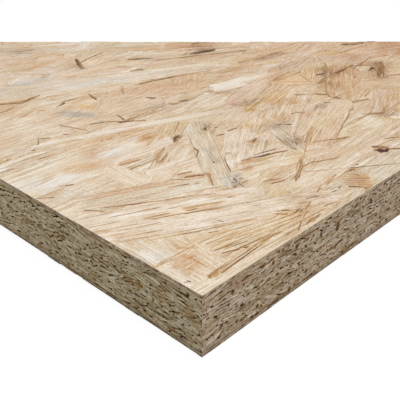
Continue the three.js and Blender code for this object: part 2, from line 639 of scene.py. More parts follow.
stains = {  # x, y, long, wide, turn and amount, in mm from the near corner
    resin_orange: (
        (9.4, 15.2, 15, 12, 60, 0.75), (12, 17.6, 16, 3, -82, 0.5), (30, 98, 28, 12, -25, 0.8),
        (70, 101.5, 15, 10, 0, 1.0), (24, 70.5, 34, 4.5, -24, 0.45), (41, 38.4, 22, 5, -29, 0.6),
        (24.5, 45.4, 14, 4, -28, 0.6), (33, 18, 22, 6, -25, 0.5), (100, 8.5, 17, 15, 45, 0.6),
        (295, 97, 80, 34, 30, 0.8), (200, 190, 34, 13, -25, 0.5), (178, 142, 20, 9, -10, 0.6),
        (94, 16, 13, 4.5, 15, 0.6), (76, 31, 10, 5, -20, 0.8), (60, 84, 17, 6, 35, 0.7),
        (57, 58, 17, 6, -40, 0.8), (58, 50, 11, 4, 55, 0.8), (83, 51, 17, 5, -16, 0.9),
        (77, 47, 8, 6, 0, 0.8), (48, 88, 16, 4, -8, 0.6), (40, 105, 14, 6, 30, 0.6),
        (51, 116.5, 38, 5, -17, 0.7), (100, 64, 9, 5, 0, 0.7), (134.6, 18.8, 13, 7, -40, 0.7),
        (118, 28, 40, 9, -12, 0.4), (128, 70, 40, 12, 25, 0.4), (140, 118, 8, 14, 20, 0.4),
        (150, 66, 18, 12, 0, 0.4), (75, 163, 30, 10, 30, 0.4), (125, 152, 60, 20, -10, 0.6),
        (192, 202, 36, 16, -45, 0.9), (98, 233, 44, 10, 12, 0.8), (205, 88, 60, 30, 40, 0.6),
        (225, 150, 60, 26, -10, 0.5), (265, 100, 50, 30, 20, 0.6),
    ),
    gold: (
        (113.5, 77.5, 13, 8, 0, 0.9), (131, 90, 12, 7, 20, 0.8), (154, 92, 28, 14, 10, 1.0),
        (188, 104, 36, 16, 15, 0.5), (134, 92.5, 13, 8, 30, 1.0), (58, 12.5, 13, 8, -20, 0.9),
        (77, 151, 20, 9, -60, 1.0), (247, 118, 30, 13, -35, 1.0), (140, 50, 60, 12, 20, 0.3),
        (100, 38, 30, 8, 30, 0.5),
    ),
    bark_brown: (
        (79, 92, 9, 5, 30, 0.9), (134, 19.4, 9, 3.5, -42, 0.8), (213, 144, 34, 12, -4, 0.7),
        (174, 38, 17, 9, -45, 0.6), (160, 67.5, 14, 9, 0, 0.6), (139.5, 120, 14, 6, -30, 0.6),
        (135, 99.5, 18, 9, 0, 0.6), (101, 130, 22, 9, -10, 0.35), (236, 77, 30, 14, 35, 0.3),
        (190, 182, 34, 10, -10, 0.5), (113, 49, 18, 10, 40, 0.7), (207, 95, 24, 10, 35, 0.7),
        (199, 187, 30, 13, -25, 0.5), (245, 82, 22, 12, 35, 0.35), (88, 52, 20, 3, -18, 0.5),
    ),
    blue_rot: (
        (64.5, 43, 18, 10, 50, 0.85), (66, 149, 24, 9, -62, 0.8), (114, 54, 26, 9, 65, 0.35),
        (128, 67, 20, 10, 0, 0.5), (101, 92, 10, 5, 50, 0.5), (76, 67, 20, 4, 60, 0.5),
        (75, 210, 50, 14, -5, 0.6), (105, 267, 30, 12, -30, 0.6), (154, 197, 16, 8, -45, 0.6),
        (110, 180, 60, 12, -20, 0.3),
    ),
    weathered: (
        (84, 194, 70, 24, -25, 0.5), (142, 168, 70, 18, -25, 0.5), (105, 272, 60, 26, -30, 0.5),
    ),
}


def corner_place(tree):
    """Where a point is from the near corner, in mm."""
    inputs = {0: board_place(tree), 1: near_corner}
    moved = add(tree, "ShaderNodeVectorMath", inputs, operation="SUBTRACT").outputs[0]
    inputs = {0: moved, "Scale": 1 / MM}
    return add(tree, "ShaderNodeVectorMath", inputs, operation="SCALE").outputs[0]


def patch(tree, from_corner, ragged, middle, size, turn):
    """How much of a soft, ragged patch is here: its middle and size in mm, its turn in degrees."""
    reach = 1.8  # of the patch's half size, as far out as its ragged rim may come
    inputs = {
        "Vector": from_corner,
        "Location": middle,
        "Rotation": [math.radians(angle) for angle in turn],
        "Scale": Vector(size) / 2 * reach,
    }
    inside = add(tree, "ShaderNodeMapping", inputs, vector_type="TEXTURE").outputs[0]
    closeness = add(tree, "ShaderNodeTexGradient", {0: inside}, gradient_type="SPHERICAL").outputs[1]
    depth = calc(tree, "SUBTRACT", calc(tree, "MULTIPLY", closeness, reach), ragged)
    return above(tree, depth, 0.7, 1.5)


def patchwork(tree, from_corner, ragged, patches):
    """How much the patches of one shade cover here, added up where they meet."""
    total = 0.0
    for x, y, long_way, wide_way, turn, amount in patches:
        spot = patch(tree, from_corner, ragged, (x, y, 0), (long_way, wide_way, 20), (0, 0, turn))
        total = calc(tree, "MULTIPLY_ADD", spot, amount, total)
    return total


def face_finish():
    """Pale softwood under a thin skin of resin: growth rings, fibres, warm stains, dark rims.

    It also carries painted light: pale sheen patches, a pool of light round the near corner,
    and shade along the bottom of the sawn faces.
    """
    finish, tree, shader = new_finish("face_strand_finish", 0.3)
    place = strand_value(tree, "grain", "Vector")
    tone = strand_value(tree, "tone")
    lay = strand_value(tree, "lay")
    wide = strand_value(tree, "wide")
    blank = strand_value(tree, "blank", "Vector")
    rim = strand_value(tree, "rim")
    own = add(tree, "ShaderNodeTexWhiteNoise", {"W": lay}, noise_dimensions="1D").outputs["Color"]
    own_rings, own_stain, own_rim = add(tree, "ShaderNodeSeparateColor", {0: own}).outputs

    fibres = grainy(tree, place, 60.0, 1400.0, 3.0, 0.7)
    rings = grainy(tree, place, 4.0, 60.0, 2.0, 0.45, 0.3)
    rings = calc(tree, "FRACT", calc(tree, "MULTIPLY", rings, 13.0))
    rings = calc(tree, "POWER", rings, 2.5)
    streaks = grainy(tree, place, 22.0, 520.0, 3.0, 0.6, 0.3)
    clouds = grainy(tree, place, 26.0, 95.0, 3.0, 0.6, 0.6)
    flecks = grainy(tree, place, 190.0, 900.0, 1.0, 0.5)
    ragged = calc(tree, "ADD", grainy(tree, board_place(tree), 70.0, 110.0, 3.0, 0.7), clouds)
    ragged = calc(tree, "MULTIPLY_ADD", calc(tree, "ADD", ragged, streaks), 1.5, -2.25)
    seasons = grainy(tree, board_place(tree), 9.0, 14.0, 2.0, 0.5)
    from_corner = corner_place(tree)
    speckle = grainy(tree, place, 900.0, 1700.0, 2.0, 0.7)
    dashes = grainy(tree, place, 120.0, 1900.0, 2.0, 0.5)
    # noise for the painted sheen: pale patches that cross the strands
    painted_sheen = grainy(tree, board_place(tree), 26.0, 34.0, 4.0, 0.65)
    near_end = calc(tree, "MULTIPLY", calc(tree, "ABSOLUTE", parts_of(tree, blank)[0]), 2.0)
    near_side = calc(tree, "ABSOLUTE", parts_of(tree, blank)[2])
    fraying = calc(tree, "MULTIPLY_ADD", calc(tree, "ADD", streaks, clouds), 1.1, near_end)
    fraying = calc(tree, "MULTIPLY_ADD", flecks, 1.2, fraying)
    fraying = calc(tree, "MULTIPLY_ADD", calc(tree, "MULTIPLY", near_side, near_side), 0.5, fraying)
    barked = part(tree, above(tree, tone, 0.085, 0.055), above(tree, fraying, 3.35, 2.65))

    shades = (
        (0.05, (0.720, 0.570, 0.400)),
        (0.09, (0.590, 0.410, 0.220)),
        (0.15, (0.620, 0.445, 0.250)),
        (0.25, (0.690, 0.525, 0.315)),
        (0.35, (0.670, 0.485, 0.345)),
        (0.45, (0.715, 0.565, 0.360)),
        (0.55, (0.730, 0.585, 0.420)),
        (0.67, (0.725, 0.590, 0.405)),
        (0.75, (0.785, 0.655, 0.510)),
        (0.83, (0.820, 0.710, 0.550)),
        (0.90, (0.840, 0.740, 0.625)),
        (0.95, (0.700, 0.620, 0.480)),
        (1.00, (0.520, 0.490, 0.425)),
    )
    colour = tone_shades(tree, tone, shades)
    # painted sheen: pale patches across the strands where the pressed face seems to catch the light
    colour = stain(tree, colour, (0.90, 0.82, 0.72, 1), part(tree, above(tree, painted_sheen, 0.45, 0.68), 0.5))
    ringed = part(tree, rings, calc(tree, "MULTIPLY_ADD", own_rings, 0.35, 0.04))
    colour = stain(tree, colour, (0.60, 0.36, 0.185, 1), ringed)
    coats = (
        ((0.64, 0.385, 0.20, 1), clouds, 0.52, 0.70, calc(tree, "MULTIPLY_ADD", own_stain, 0.55, 0.12)),
        ((0.64, 0.435, 0.250, 1), seasons, 0.44, 0.62, 0.5),
    )
    colour = coated(tree, colour, coats)
    for shade, patches in stains.items():
        colour = stain(tree, colour, shade, patchwork(tree, from_corner, ragged, patches))
    for shade, patches in tints.items():
        amount = patchwork(tree, from_corner, ragged, patches)
        colour = stain(tree, colour, shade, amount, "MULTIPLY", once=False)
    bark_shades = (
        (0.000, knot_black[:3]),
        (0.006, (0.175, 0.082, 0.027)),
        (0.020, (0.345, 0.190, 0.072)),
        (0.040, (0.515, 0.315, 0.148)),
        (0.055, (0.680, 0.465, 0.250)),
    )
    along_bark = calc(tree, "MULTIPLY_ADD", calc(tree, "ADD", streaks, clouds), 0.10, -0.098)
    along_bark = calc(tree, "MAXIMUM", along_bark, -0.006)
    barky = tone_shades(tree, calc(tree, "ADD", tone, along_bark), bark_shades)
    paler_bark = part(tree, above(tree, flecks, 0.52, 0.64), above(tree, tone, 0.0, 0.06))
    barky = stain(tree, barky, (0.66, 0.47, 0.28, 1), part(tree, paler_bark, 0.6))
    barky = coated(tree, barky, [((0.10, 0.05, 0.02, 1), fibres, 0.51, 0.37, 0.6)])
    colour = stain(tree, colour, barky, barked)
    clean = calc(tree, "MULTIPLY_ADD", barked, -0.85, 1.0)
    lined = calc(tree, "MULTIPLY_ADD", own_stain, 0.95, 0.05)
    dark_lines = part(tree, above(tree, streaks, 0.58, 0.70), part(tree, lined, clean))
    colour = stain(tree, colour, (0.71, 0.53, 0.34, 1), dark_lines, "MULTIPLY")
    pale_fibre = calc(tree, "MULTIPLY_ADD", barked, -0.6, 0.6)
    pale_speck = calc(tree, "MULTIPLY_ADD", barked, -0.6, 0.65)
    coats = (
        ((0.72, 0.61, 0.48, 1), fibres, 0.45, 0.70, 0.58, "MULTIPLY"),
        ((0.93, 0.87, 0.79, 1), fibres, 0.5, 0.3, pale_fibre),
        ((0.66, 0.53, 0.40, 1), speckle, 0.5, 0.72, 0.6, "MULTIPLY"),
        ((0.96, 0.90, 0.82, 1), speckle, 0.45, 0.25, pale_speck),
    )
    colour = coated(tree, colour, coats)
    dashed = part(tree, above(tree, dashes, 0.56, 0.68), calc(tree, "MULTIPLY_ADD", own_rings, 0.8, 0.35))
    colour = stain(tree, colour, (0.73, 0.62, 0.47, 1), part(tree, dashed, clean), "MULTIPLY")
    flecked = part(tree, above(tree, flecks, 0.68, 0.78), part(tree, clean, 0.6))
    colour = stain(tree, colour, (0.46, 0.34, 0.24, 1), flecked, "MULTIPLY")
    from_side = calc(tree, "SUBTRACT", 1.0, calc(tree, "ABSOLUTE", parts_of(tree, blank)[2]))
    from_side = calc(tree, "MULTIPLY", from_side, part(tree, wide, 0.5))
    by_side = above(tree, from_side, 0.7 * MM, 0.2 * MM)
    edged = part(tree, by_side, above(tree, streaks, 0.4, 0.6))
    edged = part(tree, edged, part(tree, above(tree, own_rim, 0.15, 0.8), clean))
    colour = stain(tree, colour, (0.52, 0.39, 0.24, 1), edged, "MULTIPLY")
    rimmed = part(tree, rim, calc(tree, "ABSOLUTE", parts_of(tree, blank)[2]))
    rimmed = part(tree, rimmed, part(tree, calc(tree, "MULTIPLY_ADD", own_rim, 0.7, 0.2), clean))
    colour = stain(tree, colour, (0.48, 0.37, 0.24, 1), rimmed, "MULTIPLY")
    sawn = strand_value(tree, "sawn")
    aside = calc(tree, "ABSOLUTE", parts_of(tree, board_place(tree))[1])
    long_side = above(tree, aside, panel_high.y - 0.3 * MM, panel_high.y - 0.2 * MM)
    cut_wood = stain(tree, (0.30, 0.22, 0.135, 1), (0.38, 0.285, 0.185, 1), long_side)
    cut_wood = stain(tree, cut_wood, (0.13, 0.08, 0.04, 1), above(tree, clouds, 0.42, 0.68))
    chipped = mottled(tree, 430.0)
    coats = (
        ((0.56, 0.48, 0.36, 1), chipped, 0.48, 0.36, 0.65),
        ((0.09, 0.05, 0.02, 1), chipped, 0.52, 0.62, 0.75),
    )
    cut_wood = coated(tree, cut_wood, coats)
    # painted shade by the floor: a patchy dark line along the lowest sawn faces, partly the lowest
    # strand's dark edge, and the end sides darkened there
    bottom_shade_patches = calc(tree, "MULTIPLY_ADD", above(tree, mottled(tree, 160.0), 0.40, 0.58), 0.65, 0.3)
    low_down = above(tree, parts_of(tree, from_corner)[2], -23.2, -23.8)
    cut_wood = stain(tree, cut_wood, (0.075, 0.050, 0.026, 1), part(tree, low_down, bottom_shade_patches))
    end_side = part(tree, low_down, calc(tree, "SUBTRACT", 1.0, long_side))
    cut_wood = stain(tree, cut_wood, (0.76, 0.76, 0.70, 1), end_side, "MULTIPLY")
    colour = stain(tree, colour, cut_wood, sawn)
    tree.links.new(colour, shader.inputs["Base Color"])

    rough = add(tree, "ShaderNodeMapRange", {"Value": fibres, "To Min": 0.52, "To Max": 0.8})
    tree.links.new(rough.outputs[0], shader.inputs["Roughness"])
    relief = calc(tree, "ADD", fibres, part(tree, streaks, 0.8))
    bump = add(tree, "ShaderNodeBump", {"Height": relief, "Strength": 0.5, "Distance": 0.2 * MM})
    tree.links.new(bump.outputs[0], shader.inputs["Normal"])
    return finish


bed_blanks = box_of_blanks("bed_blanks", cut_blanks("bed_blank", 40, 2, 1, 0.05, 0.05))
show_blanks = box_of_blanks("show_blanks", cut_blanks("show_blank", 70, 3, 3, 0.14, 0.16))
plain_blanks = box_of_blanks("plain_blanks", cut_blanks("plain_blank", 60, 2, 2, 0.14, 0.16))
splinters = cut_blanks("splinter_blank", 90, 3, 1, 0.35, 0.12, bend=0.12, rim=0.1)
splinter_blanks = box_of_blanks("splinter_blanks", splinters)
face_strand_finish = face_finish()
lay_strands = strand_laying_tree()
form_mat = mat_forming_tree(lay_strands)
mat_margin = 50 * MM
hollow_reach = 225 * MM  # from the near corner, kept low for strands laid there one by one
hollow_depth = 0.3 * MM

bed_sizes = {
    "Mat length": board_length + 2 * mat_margin,
    "Mat width": board_width + 2 * mat_margin,
    "Spacing": 26 * MM,
    "Shortest": 100 * MM,
    "Longest": 150 * MM,
    "Narrowest": 30 * MM,
    "Widest": 48 * MM,
    "Drift": 0.0,
    "Spread": math.radians(16),
    "Least sunk": 0.30 * MM,
    "Most sunk": 0.45 * MM,
    "Hollow x": panel_low.x + hollow_reach,
    "Hollow y": panel_low.y + hollow_reach,
    "Hollow depth": hollow_depth,
    "Darkest": 0.04,
    "Palest": 0.98,
    "Bark shortage": 9.0,
    "Seed": 11,
    "Blanks": bed_blanks,
    "Thickness": strand_thickness,
    "Face height": panel_high.z,
    "Facing": 1.0,
    "Map columns": 20.0,
    "Map rows": 100.0,
    "Finish": face_strand_finish,
}
show_sizes = {
    **bed_sizes,
    "Spacing": 22.5 * MM,
    "Shortest": 55 * MM,
    "Longest": 150 * MM,
    "Narrowest": 5 * MM,
    "Widest": 30 * MM,
    "Drift": math.radians(-6),
    "Spread": math.radians(24),
    "Least sunk": 0.06 * MM,
    "Most sunk": 0.34 * MM,
    "Darkest": 0.0,
    "Palest": 1.0,
    "Seed": 23,
    "Blanks": show_blanks,
    "Map columns": 28.0,
    "Map rows": 168.0,
}
splinter_sizes = {
    **show_sizes,
    "Spacing": 31 * MM,
    "Shortest": 10 * MM,
    "Longest": 42 * MM,
    "Narrowest": 0.4 * MM,
    "Widest": 2.2 * MM,
    "Least sunk": 0.02 * MM,
    "Most sunk": 0.12 * MM,
    "Darkest": 0.012,
    "Palest": 0.3,
    "Bark shortage": 0.0,
    "Seed": 37,
    "Blanks": splinter_blanks,
    "Thickness": 0.3 * MM,
    "Map columns": 20.0,
    "Map rows": 130.0,
}
flake_sizes = {
    **splinter_sizes,
    "Spacing": 64 * MM,
    "Shortest": 8 * MM,
    "Longest": 34 * MM,
    "Narrowest": 1.6 * MM,
    "Widest": 7 * MM,
    "Spread": math.radians(30),
    "Darkest": 0.005,
    "Palest": 0.045,
    "Blanks": plain_blanks,
    "Seed": 83,
    "Map columns": 8.0,
    "Map rows": 88.0,
}
no_mesh = bpy.data.meshes.new("no_mesh")
press_strands("upper_bed_strands", no_mesh, form_mat, bed_sizes)
press_strands("upper_show_strands", no_mesh, form_mat, show_sizes)
press_strands("upper_splinters", no_mesh, form_mat, splinter_sizes)
press_strands("upper_bark_flakes", no_mesh, form_mat, flake_sizes)

# --------------------------------------------------------------------------------------
# Strands by the near corner: the ones that show there, laid one by one in the order they were
# pressed, each lying a little over the one before. Broad strands come first, then slivers
# and bark. They are torn at the ends and drawn finer than the rest.
# --------------------------------------------------------------------------------------
knot, bark, brown, amber, honey = -0.02, 0.010, 0.02, 0.038, 0.055
tan, warm, cream, pale = 0.22, 0.58, 0.80, 0.90
greenish, blue_grey, rosy = 0.945, 0.99, 0.35
near_strands = (  # from x, y to x, y, width in mm from the near corner, and tone
    (-16, 20, 92, 20, 46, warm), (60, 22, 176, 24, 46, tan), (-16, 62, 92, 60, 46, cream),
    (70, 62, 180, 64, 46, warm), (-16, 104, 92, 104, 46, cream), (70, 104, 180, 104, 46, warm),
    (0, 146, 110, 146, 42, warm), (40, 210, 120, 176, 28, 0.72), (92, 190, 184, 150, 20, 0.83),
    (-12, 14, 88, 8, 25, warm), (-8, 2, 74, -2, 9, cream), (11, -10, 12, 42, 20, cream),
    (1.5, -6, 2.6, 60, 4.4, pale), (66, 4, 150, 8, 17, greenish), (70, 25, 172, 26, 22, warm),
    (108, 17, 172, 20, 12, pale), (62, 54, 120, 36, 16, cream), (92, 33, 176, 66, 20, warm),
    (74, 50, 124, 84, 22, pale), (106, 58, 172, 94, 24, warm), (-14, 100, 52, 100, 24, cream),
    (-10, 117, 70, 114, 14, warm), (-12, 80, 34, 79, 20, cream), (36, 68, 35, 91, 16, cream),
    (4, 72, 66, 46, 12, greenish), (38, 64, 78, 86, 16, warm), (58, 84, 102, 112, 14, tan),
    (38, 98, 78, 97, 20, pale), (96, 84, 176, 104, 20, warm), (-10, 54, 86, 5, 14, pale),
    (-10, 63, 68, 29, 14, pale), (6, 78, 52, 59, 4.5, rosy), (44, 74, 74, 70, 7, pale),
    (22, 128, 84, 111, 7, tan), (26, 132, 128, 97, 6, pale), (104, 39, 128, 78, 10, greenish),
    (56, 42, 101, 102, 12, greenish), (20, 16, 56, 9, 5, tan), (140, 125.5, 188, 118.5, 16, pale),
    (128, 104.5, 212, 124.5, 12, rosy), (176, 66, 230, 101, 17, 0.15), (7.9, 4.6, 41, 6.3, 2.5, 0.13),
    (95.9, 12.2, 104.0, 4.1, 12.5, tan),
)
near_slivers = (  # as the strands
    (7.0, 4.8, 14, 5.0, 3.2, 0.043), (11, 4.4, 24, 4.7, 1.0, 0.043), (16, 5.4, 30, 5.9, 0.8, 0.043),
    (10, 5.6, 21, 5.5, 0.5, brown), (14, 5.1, 30, 5.7, 0.4, brown), (12, 3.6, 26, 4.6, 0.45, bark),
    (21, 4.4, 34, 5.1, 0.45, bark), (32, 5.0, 42, 6.0, 0.4, brown), (9, 5.9, 24, 6.6, 0.35, brown),
    (28, 6.1, 36, 6.5, 1.2, amber), (30, 6.3, 34.6, 6.6, 0.8, brown), (35, 6.3, 42.4, 6.8, 0.7, amber),
    (40.6, 6.7, 46.4, 5.3, 0.6, bark), (8.2, 5.7, 8.6, 3.7, 0.7, brown),
    (21, 11.6, 27.6, 8.6, 0.6, brown), (25, 9.6, 43, 7.1, 0.5, brown), (28.8, 8.2, 31.2, 7.4, 0.8, bark),
    (24.6, 17.4, 33.4, 13.6, 0.5, amber), (31.6, 14.4, 47, 9.7, 0.5, amber),
    (20, 14.2, 40, 11.0, 0.5, tan), (22, 16.6, 38, 13.0, 0.5, honey), (23, 12.6, 34, 10.0, 0.5, amber),
    (21, 19.5, 36, 16.2, 0.5, honey), (26, 21.6, 44, 15.8, 0.5, honey), (42, 8.4, 60, 6.6, 0.5, amber),
    (44, 10.6, 66, 6.4, 0.4, brown), (46, 12.4, 70, 8.6, 0.5, amber), (48, 5.4, 72, 3.6, 0.5, amber),
    (50.6, 1.5, 57.4, 4.7, 0.6, amber), (57.2, 2.4, 64.8, 2.3, 2.3, 0.048),
    (56, 1.9, 62.4, 3.1, 0.7, amber), (60, 3.1, 66.8, 2.5, 0.6, brown),
    (58.2, 6.0, 66.4, 9.0, 2.0, amber), (64.4, 8.4, 72, 11.0, 1.1, amber),
    (60.6, 8.2, 65.2, 9.8, 0.5, brown), (59, 5.6, 65, 7.6, 0.4, brown),
    (56.2, 12.6, 58, 11.4, 0.6, brown), (58.2, 14.6, 60.6, 12.8, 0.6, brown),
    (62.4, 10.9, 64, 9.7, 0.6, bark), (60.2, 10.0, 65.2, 10.7, 0.7, brown),
    (53.8, 15.7, 57.6, 11.3, 0.6, brown), (55.6, 16, 63.4, 10.4, 0.5, brown),
    (69, 18.7, 78.6, 10.5, 0.7, amber), (71.6, 13.8, 77.4, 10.9, 0.8, brown),
    (78.8, 13.1, 84.8, 15.5, 0.9, amber), (83.2, 9.5, 86.4, 8.7, 0.8, bark),
    (87.8, 9.1, 91.2, 9.9, 0.7, bark), (71.2, 5.2, 78.2, 3.6, 0.5, brown),
    (104.6, 15.3, 107.8, 13.7, 1, bark), (92.3, 7.4, 97.0, 1.0, 0.9, bark),
    (95, 1.9, 96.6, 0.9, 0.8, bark), (89.3, 28.8, 105.4, 17.4, 0.35, brown),
    (105.4, 17.4, 125.9, 3.1, 0.35, brown), (95.4, 11.3, 102.8, 4.0, 0.9, brown),
    (101.2, 12.6, 104.3, 9.1, 0.7, brown), (88, 14.4, 98.6, 17.2, 1, amber),
    (81.4, 25.1, 91.2, 30.7, 1.4, amber), (86.6, 27.1, 90, 28.9, 0.7, brown),
    (94, 31, 102.4, 31.2, 0.5, brown), (100, 31, 114, 24.6, 0.7, amber),
    (72.2, 34.9, 79.4, 30.9, 0.8, amber), (72.6, 31.1, 80.4, 28.9, 0.7, brown),
    (110.2, 16.5, 113.2, 15.3, 0.8, brown), (7.6, 36.0, 30, 25.0, 0.4, amber),
    (27, 26.7, 47.4, 17.2, 0.4, amber), (27.6, 23.6, 31.6, 21.6, 0.6, amber),
    (36.3, 27.2, 37.4, 24.4, 0.4, brown), (12.6, 25, 18.4, 19.2, 0.4, amber),
    (18, 47.2, 29, 43.0, 1.0, honey), (33, 42.0, 50, 34.4, 1.4, honey),
    (32, 40.6, 38.6, 37.8, 1.2, amber), (19, 45.4, 33.4, 38.6, 0.9, amber),
    (20.4, 44.6, 28, 41.2, 0.6, brown), (30.6, 39.5, 45, 31.7, 1.0, brown),
    (33, 43.4, 50, 34.2, 0.7, amber), (20, 60.4, 33.4, 52.2, 0.6, brown),
    (31.8, 53, 52.6, 40.6, 0.4, amber), (50, 41.8, 54.6, 33.6, 0.4, tan),
    (51.6, 36, 54.8, 34.2, 0.8, amber), (53.2, 28, 55.4, 26.8, 0.8, amber),
    (1.0, 9.2, 1.8, 7.6, 0.5, blue_grey), (2.2, 8.9, 2.8, 7.1, 0.6, bark), (0, 53, 15, 46, 0.5, amber),
    (1, 45, 19, 36.0, 0.4, amber), (5, 48, 22, 40.4, 0.4, amber), (9, 57.5, 30, 48.5, 0.5, tan),
    (0, 57, 12, 51.6, 0.4, amber), (0, 48, 16, 38.5, 0.5, tan), (7.2, 67.8, 11.2, 63.8, 0.6, amber),
    (10.4, 64.8, 12.2, 61, 0.4, amber), (12.6, 64.8, 26.4, 56.2, 0.7, brown),
    (32, 53, 62, 38.5, 0.4, tan), (2.4, 86.6, 6.4, 84.0, 1.1, bark), (0.6, 88.2, 4.4, 85.6, 0.5, amber),
    (12.6, 90.2, 17.2, 88.3, 0.5, amber), (14.4, 89.1, 18.2, 87.6, 1.1, bark),
    (40.6, 88.3, 52.4, 86.3, 0.7, amber), (42, 84.2, 46.6, 83, 0.5, amber),
    (20, 118.0, 31.4, 117.1, 0.8, amber), (21.4, 118.1, 24.6, 117.3, 0.7, brown),
    (0.6, 118.7, 9.4, 117.7, 0.7, brown), (74, 88.6, 83.2, 94.6, 2.9, bark),
    (80.2, 94.8, 93.6, 104.6, 1, brown), (91, 102.4, 94.2, 105, 0.8, bark),
    (52.6, 77.8, 68.6, 88.6, 2.2, amber), (54.4, 77.5, 62.2, 81.1, 0.8, brown),
    (60.8, 79.9, 65.2, 83.1, 0.9, bark), (76.9, 79.1, 75.1, 73.1, 2.2, bark),
    (68.2, 102.6, 72.8, 100.6, 3.4, amber), (75.7, 74.2, 69.4, 69.8, 0.8, brown),
    (98.0, 91.8, 94.4, 87.0, 2.4, bark), (100, 87.3, 102, 86, 0.9, bark),
    (93.4, 80, 98.4, 78.9, 1, brown), (83.2, 78.2, 77, 69.6, 0.8, greenish),
    (78, 71.4, 70.8, 60.2, 0.9, blue_grey), (72.6, 62, 70.6, 60.2, 1, bark),
    (81.8, 63.7, 84.2, 62.5, 1, brown), (97.2, 64.2, 101.6, 64.3, 2.2, amber),
    (100.2, 63.7, 105, 64.7, 1.8, brown), (102, 64.4, 104.6, 64.8, 0.9, bark),
    (78.6, 51.6, 96, 46.0, 2.4, honey), (80.2, 53.7, 90, 51.0, 1.1, bark),
    (85.6, 52.0, 97.6, 48.3, 2.0, bark), (93, 49.5, 104, 45.7, 1.0, brown),
    (88.2, 53.8, 102, 50.5, 0.8, brown), (61.4, 58.2, 62.6, 53.3, 1.8, amber),
    (62.2, 55.2, 55.2, 46.4, 1, amber), (52.2, 60.9, 61.8, 54.9, 1.4, brown),
    (52.2, 64.2, 59.4, 61.5, 0.8, brown), (46.8, 63.2, 54.2, 55.5, 0.6, amber),
    (41.6, 58.6, 50.4, 54.4, 0.7, brown), (66.6, 45.6, 64, 41.2, 1.0, brown),
    (62.4, 43.4, 63.6, 42.2, 0.7, brown), (67.6, 43.8, 68.8, 42.4, 0.7, bark),
    (60.4, 40.2, 61.6, 39.2, 0.6, bark), (65.2, 41.8, 63.2, 36.8, 0.9, blue_grey),
    (61, 49.4, 66, 47, 0.7, blue_grey), (69.3, 49.3, 78.6, 61.8, 0.8, brown),
    (59.6, 117.3, 81.4, 107.2, 0.6, amber), (101.4, 80, 108.2, 79.1, 1, brown),
    (107, 48.2, 112.8, 59.8, 0.7, brown), (112.2, 49.2, 114.6, 56.4, 0.9, bark),
    (106.4, 47.6, 107.6, 43.2, 1.1, bark), (109.6, 45.2, 115.4, 49.6, 2.6, brown),
    (114.4, 50.4, 118.8, 49.9, 0.8, brown), (116, 52, 126, 72, 0.7, brown),
    (124, 67.7, 126.6, 66.5, 1.4, bark), (126.6, 65, 129.6, 63.3, 1.4, bark),
    (140.4, 71.7, 144.6, 70.6, 0.8, brown), (143.8, 71.2, 147, 67.4, 0.8, brown),
    (165, 69.2, 168.6, 66.8, 1.4, bark), (82.4, 25.6, 102.6, 37.0, 2.8, 0.05),
    (84, 25.6, 96, 32.0, 0.6, amber), (90, 31.4, 99, 36.2, 0.6, amber), (99, 34.4, 116, 44.4, 0.6, amber),
    (111.4, 41.6, 135, 54.6, 3.4, 0.049), (112.4, 41.8, 120, 46.0, 1.4, amber),
    (112.6, 42.6, 119, 46.2, 1.3, 0.015), (118, 43.2, 129, 38, 0.6, amber),
    (127.4, 38.2, 136.4, 34.2, 0.9, brown), (126, 35.4, 134.6, 34.8, 0.6, amber),
    (132.8, 20.4, 138.2, 12.0, 4.0, 0.015), (129.6, 18.2, 133.4, 13.6, 4.8, knot),
    (131.4, 16.8, 135.2, 12.2, 4.8, knot), (130.4, 17.4, 134.4, 12.8, 4.6, knot),
    (133, 21.4, 136, 18.8, 0.8, brown), (136.4, 14.0, 143, 8.0, 1.3, brown),
    (141, 9.8, 152, 3.0, 0.7, brown), (134, 19.6, 150, 17.8, 0.5, amber),
    (144.8, 21.8, 152, 17.2, 0.6, brown), (64.0, 116.0, 77, 113.0, 0.7, amber),
    (52, 114.8, 58.4, 112, 0.7, brown), (44.8, 133.2, 47.6, 131.1, 1, brown),
    (24, 128.4, 26.8, 127.4, 1, brown), (35.6, 139.2, 29.6, 130.4, 0.8, amber),
    (34, 137, 39, 134, 0.7, amber), (50.6, 144, 56.6, 128.6, 0.8, amber),
    (61, 134.3, 69, 130.9, 1.2, brown), (66.8, 132.7, 75, 126, 1.1, brown),
    (72.8, 127.5, 84.8, 117.4, 1.2, brown), (79.2, 134.4, 77, 126, 1, brown),
    (71, 143.4, 105.6, 172.8, 1.9, cream), (89.0, 171, 85.4, 157.6, 2.4, brown),
    (62.4, 164.6, 74.2, 168.4, 2.5, bark), (36, 196, 58.6, 183.6, 2.6, brown),
    (54.2, 184.6, 70, 187.4, 2.6, brown), (124, 229, 114.6, 208.6, 3.0, bark),
    (39, 178.4, 50, 181.2, 1.8, honey), (146, 205, 160, 195, 2.2, tan),
    (105.6, 143, 109.6, 138, 1.4, brown), (107, 127.8, 113.6, 123.4, 1.6, amber),
    (114.6, 126.2, 121, 123.0, 1.8, amber), (118, 163.2, 138, 159.4, 1.6, amber),
    (130, 162, 166, 149.6, 1.9, amber), (130.4, 184.8, 140, 181.2, 1.4, amber),
    (180, 183.8, 203, 179.4, 4, bark), (188, 148.8, 216, 145.2, 3.0, honey),
    (208, 146.6, 225, 144.8, 3.4, amber), (129.8, 103, 132.6, 101, 1.5, brown),
    (132, 98.8, 137.4, 97.2, 1.6, amber), (128.6, 90.9, 133.8, 89.3, 2.2, amber),
    (152.4, 81, 156.4, 79, 1.4, amber), (226, 111, 208, 94, 7.5, 0.037), (211, 98, 198, 87, 3.0, honey),
    (200.4, 89.4, 184.4, 73.6, 3.8, 0.03), (189.6, 89.8, 214, 92.4, 2.2, brown),
    (206, 91.6, 235, 94.6, 2.2, bark), (190, 90.9, 234, 94.4, 3.2, bark),
    (201.2, 99.6, 209.4, 96.8, 2.1, bark), (253, 87.6, 221, 67.4, 7.4, 0.02),
